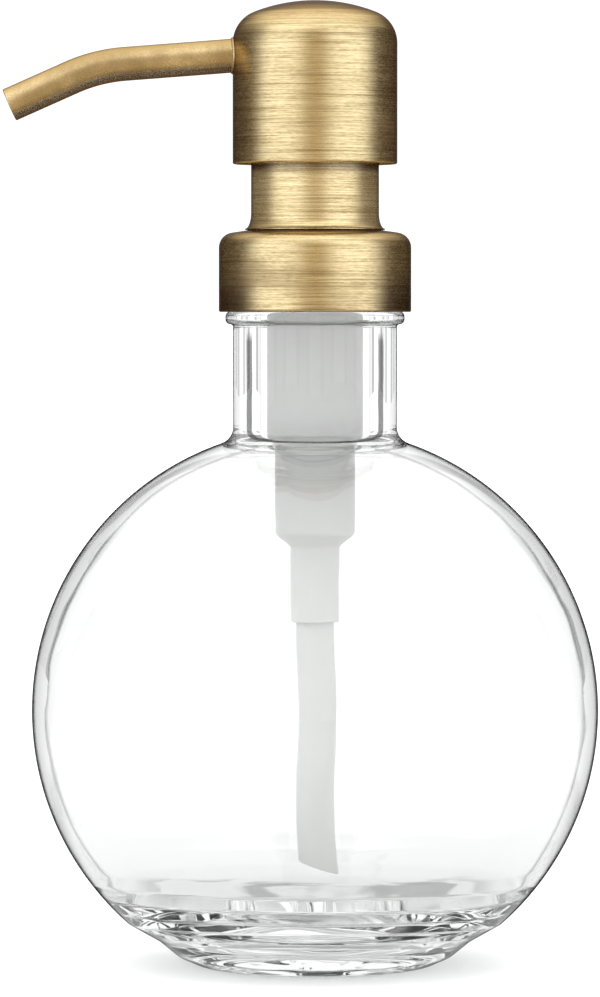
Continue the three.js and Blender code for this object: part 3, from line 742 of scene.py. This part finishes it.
def spout_path(length):
    """The centre and cross directions of the spout at a length from its root, in mm."""
    first, last = (math.radians(a) for a in SPOUT_FALL)
    taken = BEND_RADIUS * math.tan((last - first) / 2)
    start = SPOUT_CORNER - taken
    along = min(length, start)
    turn = min(max((length - start) / BEND_RADIUS, 0), last - first)
    rest = max(0, length - start - BEND_RADIUS * (last - first))
    fall = first + turn
    x = SPOUT_ROOT.x - along * math.cos(first) - rest * math.cos(last)
    z = SPOUT_ROOT.y - along * math.sin(first) - rest * math.sin(last)
    x -= BEND_RADIUS * (math.sin(fall) - math.sin(first))
    z -= BEND_RADIUS * (math.cos(first) - math.cos(fall))
    centre = Vector((AXIS_X + x * MM, 0, z * MM))
    return centre, Vector((-math.sin(fall), 0, math.cos(fall))), Vector((0, 1, 0))


def spout_length():
    first, last = (math.radians(a) for a in SPOUT_FALL)
    taken = BEND_RADIUS * math.tan((last - first) / 2)
    return SPOUT_CORNER - 2 * taken + BEND_RADIUS * (last - first) + SPOUT_TIP


def spout_tube():
    mouth = spout_length()
    bore = SPOUT_RADIUS - 0.7
    corners = [
        (SPOUT_RADIUS, -SPOUT_INNER),
        (bore, -SPOUT_INNER),
        (bore, mouth, 0.15),
        (SPOUT_RADIUS, mouth, 0.2),
    ]
    piece = turned("spout_tube_fine", corners, SATIN, SMALL_SIDES, place=spout_path)
    sharpen(piece)
    stands_for(piece, "spout_tube")


def spout_fillet():
    """The small collar of brazing round the spout where it leaves the head."""
    fall = math.radians(SPOUT_FALL[0])

    def on_head(r, level, angle):
        """Level 0 lies on the head's side, at that radius and angle round the spout."""
        side = math.sqrt(HEAD_RADIUS ** 2 - (r * math.sin(angle)) ** 2)
        surface = (side + SPOUT_ROOT.x - r * math.cos(angle) * math.sin(fall)) / math.cos(fall)
        return r, level + surface

    corners = [
        (SPOUT_RADIUS + 0.3, -0.4),
        (SPOUT_RADIUS + 0.3, 0.02, 0.06),
        (SPOUT_RADIUS + 0.18, 0.25, 0.08),
        (SPOUT_RADIUS + 0.02, 0.35, 0.02),
        (SPOUT_RADIUS + 0.02, -0.4),
    ]
    piece = turned("spout_fillet_fine", corners, SATIN, SMALL_SIDES, spout_path, on_head, 0.2)
    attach(piece, BODY_OF["spout_tube"])


def spout_liner():
    mouth = spout_length() - 1.4
    corners = [
        (2.15, -SPOUT_INNER),
        (1.6, -SPOUT_INNER),
        (1.6, mouth, 0.1),
        (2.15, mouth, 0.1),
    ]
    piece = turned("spout_liner_fine", corners, WHITE, 48, place=spout_path)
    sharpen(piece)
    stands_for(piece, "spout_liner")


# ---------------------------------------------------------------- make everything

bottle()
pump_housing()
dip_tube()
head_shell()
neck_sleeve()
collar_shell()
spout_tube()
spout_fillet()
spout_liner()
return_spring()

KEPT = {
    "neck_gasket": FOAM,
    "valve_cage": WHITE,
    "guide_bush": WHITE,
    "closure_ring": WHITE,
    "piston_seal": SOFT,
    "piston_rod": WHITE,
    "upper_stem": WHITE,
    "stem_washer": FOAM,
    "inlet_ball": STEEL,
    "outlet_ball": STEEL,
    "actuator_core": WHITE,
}
for node, material in KEPT.items():
    piece = frame["nodes"][node]
    for material_slot in piece.material_slots:
        material_slot.material = material


# ---------------------------------------------------------------- studio

CAMERA_DISTANCE = 0.95  # from the bottle's axis, as is the side
CAMERA_SIDE = -0.0027
CAMERA_HEIGHT = 0.1174
CAMERA_PITCH = 2.024  # degrees below level
LENS = 190.6  # mm on a 36 mm sensor
WHITE_LEVEL = 1.18
# Where the mirrored softboxes stand, in radians from the front: from, to, and how soft the edges are.
FRONT_SOFTBOX = (0.56, 1.2, 0.46)
REAR_SOFTBOX = (2.9, 4, 0.2)
REAR_SHARE = 0.4
# Other ways round, from where a change begins to where it is complete.
FILL_RISE = (1.3, 0.5)
BEHIND = (1.9, 2.4)
SOFTBOX_LIGHT = (1.17, 1.18, 1.22, 1)
FRONT_FILL = (0.4, 0.3, 0.16, 1)
DARK_ROOM = (0.078, 0.06, 0.052, 1)
# How far up a direction points, from 0 at the horizon to 1 overhead.
CEILING_RISE = (0.35, 0.85)
BACKDROP_TOP = (0.5, 0.3)
FLAG_TOPS = (0.3, 0.6)
CEILING = (1.15, 1.12, 1.08, 1)
FRONT_WALL = (0.9, 0.9, 0.9, 1)
AMBIENT = (1.5, 1.5, 1.5, 1)
FLAG_COUNT = 8
FLAG_BORDER = 0.4
FLAG_GREY = 0.8
# The floor, by the distance from the axis in metres. Its grey ring is painted shade that shows only
# through the glass.
GREY_FLOOR_RING = (0.06, 0.16, 0.06)
NEAR_FLOOR = (0.3, 1.2)
FLOOR_GREY = (0.78, 0.78, 0.78, 1)
WHITE_FLOOR = (0.92, 0.92, 0.92, 1)
FLOOR_SHARE = 0.68  # of the ambient light, for what the glass and the metal see of the floor
FLOOR_SIZE = 6
FLOOR_DROP = 0.0002  # below the foot
DEEP_PATH = 4.5  # bounces after which a ray through the glass finds white in place of the flags
PLAIN_WHITE = (1, 1, 1, 1)
BLACK = (0.01, 0.01, 0.01, 1)


def camera():
    data = bpy.data.cameras.new("camera")
    data.lens = LENS
    data.sensor_width = 36
    data.clip_start = 0.01
    data.clip_end = 50
    eye = bpy.data.objects.new("camera", data)
    eye.location = (AXIS_X + CAMERA_SIDE, -CAMERA_DISTANCE, CAMERA_HEIGHT)
    eye.rotation_euler = (math.radians(90 - CAMERA_PITCH), 0, 0)
    bpy.context.scene.collection.objects.link(eye)
    bpy.context.scene.camera = eye


def softbox(name, azimuth, elevation, distance, width, height, power):
    """An area lamp aimed at the middle of the bottle. Azimuth 0 is the camera's side."""
    data = bpy.data.lights.new(name, "AREA")
    data.shape = "RECTANGLE"
    data.size = width
    data.size_y = height
    data.energy = power
    lamp = bpy.data.objects.new(name, data)
    turn, lift = math.radians(azimuth), math.radians(elevation)
    aim = Vector((AXIS_X, 0, 0.1))
    away = Vector((math.sin(turn) * math.cos(lift), -math.cos(turn) * math.cos(lift), math.sin(lift)))
    lamp.location = aim + away * distance
    lamp.rotation_euler = away.to_track_quat("Z", "Y").to_euler()
    lamp.visible_camera = False
    lamp.visible_transmission = False
    lamp.visible_glossy = False
    bpy.context.scene.collection.objects.link(lamp)


def around(shader, place):
    """The way round the object, in radians: 0 on the camera's side, pi behind the object."""
    x, y = shader.node("ShaderNodeSeparateXYZ", {0: place}).node.outputs[:2]
    return shader.math("ABSOLUTE", shader.math("ARCTAN2", x, shader.math("MULTIPLY", y, -1)))


def brass_light(shader, turn):
    """What the brass mirrors: two softboxes in front and a weaker one behind."""
    front = shader.within(turn, *FRONT_SOFTBOX)
    behind = shader.math("MULTIPLY", shader.within(turn, *REAR_SOFTBOX), REAR_SHARE)
    dim = shader.blend(shader.band(turn, *FILL_RISE), DARK_ROOM, FRONT_FILL)
    return shader.blend(shader.math("MAXIMUM", front, behind), dim, SOFTBOX_LIGHT)


def flags(shader, turn):
    """Pale grey flags with darker borders between stretches of white, every 45 degrees.

    They draw the outlines of the glass, and leave what is straight behind it white.
    """
    stripes = shader.math("COSINE", shader.math("MULTIPLY", turn, FLAG_COUNT))
    white = shader.band(stripes, 0, 0.3, FLAG_BORDER, 1)
    return shader.math("MAXIMUM", white, shader.band(stripes, -0.7, -0.3, FLAG_GREY, 0))


def lights_others(shader, paths):
    """1 for light on its way to a dull surface, which is to be lit by a plain white room."""
    return shader.math("GREATER_THAN", paths["Diffuse Depth"], 0.5)


def painted_floor_for_glass_and_metal(shader, paths):
    """Painted light on the floor, as each kind of ray finds it: softboxes and a dark room for the
    metal, a black backdrop for what the glass mirrors, and a grey ring through the glass, so that it
    goes on from what is above it.
    """
    place = place_on_axis(shader)
    turn = around(shader, place)
    reach = shader.node("ShaderNodeVectorMath", {0: place}, 1, operation="LENGTH")
    in_metal = shader.blend(shader.band(reach, *NEAR_FLOOR), FRONT_FILL, brass_light(shader, turn))
    on_glass = shader.blend(shader.band(turn, *BEHIND), FRONT_WALL, BLACK)
    through_glass = shader.blend(shader.within(reach, *GREY_FLOOR_RING), WHITE_FLOOR, FLOOR_GREY)
    seen = shader.blend(paths["Is Singular Ray"], in_metal, on_glass)
    seen = shader.blend(paths["Is Transmission Ray"], seen, through_glass)
    return shader.blend(FLOOR_SHARE, BLACK, seen)


def floor():
    """A plain white floor, except as the glass and the metal see it: to them it carries painted light
    and shade.
    """
    material, shader, inputs = new_material("studio_floor", (0.9, 0.9, 0.9), 0.9)
    paths = shader.node("ShaderNodeLightPath").node.outputs
    looked_at = shader.math("SUBTRACT", 1, lights_others(shader, paths))
    in_them = shader.math("MULTIPLY", paths["Is Glossy Ray"], looked_at)
    seen = painted_floor_for_glass_and_metal(shader, paths)
    shader.feed(inputs["Base Color"], shader.blend(in_them, WHITE_FLOOR, seen))
    inputs["Specular IOR Level"].default_value = 0
    ends = (-FLOOR_SIZE, FLOOR_SIZE)
    corners = [Vector((ends[i], ends[j], 0)) for i, j in ((0, 0), (1, 0), (1, 1), (0, 1))]
    ground = mesh_object("studio_floor", corners, [(0, 1, 2, 3)], material)
    ground.location.z = -FLOOR_DROP


def sky_on_glass(shader, turn, height):
    """What glass mirrors: a white room with a black backdrop behind the object."""
    low = shader.band(height, *BACKDROP_TOP)
    backdrop = shader.math("MULTIPLY", low, shader.band(turn, *BEHIND))
    return shader.blend(backdrop, FRONT_WALL, BLACK)


def sky_through_glass(shader, turn, height, paths):
    """The flags, with white above them and at the end of long paths."""
    long_path = shader.math("GREATER_THAN", paths["Ray Depth"], DEEP_PATH)
    no_flags = shader.math("MAXIMUM", long_path, shader.band(height, *FLAG_TOPS))
    return shader.blend(no_flags, flags(shader, turn), PLAIN_WHITE)


def world():
    """White all round, except for what only the metal and the glass see: softboxes and flags."""
    sky = bpy.data.worlds.new("studio")
    bpy.context.scene.world = sky
    sky.use_nodes = True
    sky.cycles.sampling_method = "NONE"
    shader = Shader(sky.node_tree)
    way = shader.node("ShaderNodeTexCoord", output=0)
    turn = around(shader, way)
    height = height_of(shader, way)
    paths = shader.node("ShaderNodeLightPath").node.outputs
    in_metal = shader.blend(shader.band(height, *CEILING_RISE), brass_light(shader, turn), CEILING)
    seen = shader.blend(paths["Is Glossy Ray"], PLAIN_WHITE, in_metal)
    seen = shader.blend(paths["Is Singular Ray"], seen, sky_on_glass(shader, turn, height))
    through_glass = sky_through_glass(shader, turn, height, paths)
    seen = shader.blend(paths["Is Transmission Ray"], seen, through_glass)
    background = sky.node_tree.nodes["Background"]
    shader.feed(background.inputs["Color"], shader.blend(lights_others(shader, paths), seen, AMBIENT))
    background.inputs["Strength"].default_value = WHITE_LEVEL


def light_paths():
    """Glass as thick as the bottle's base needs many bounces before light finds its way out."""
    cycles = bpy.context.scene.cycles
    cycles.max_bounces = 32
    cycles.transmission_bounces = 32
    cycles.glossy_bounces = 24


camera()
floor()
world()
light_paths()
softbox("top_softbox", azimuth=-30, elevation=60, distance=0.8, width=0.6, height=0.6, power=1.2)
bpy.context.scene.view_settings.view_transform = "Standard"
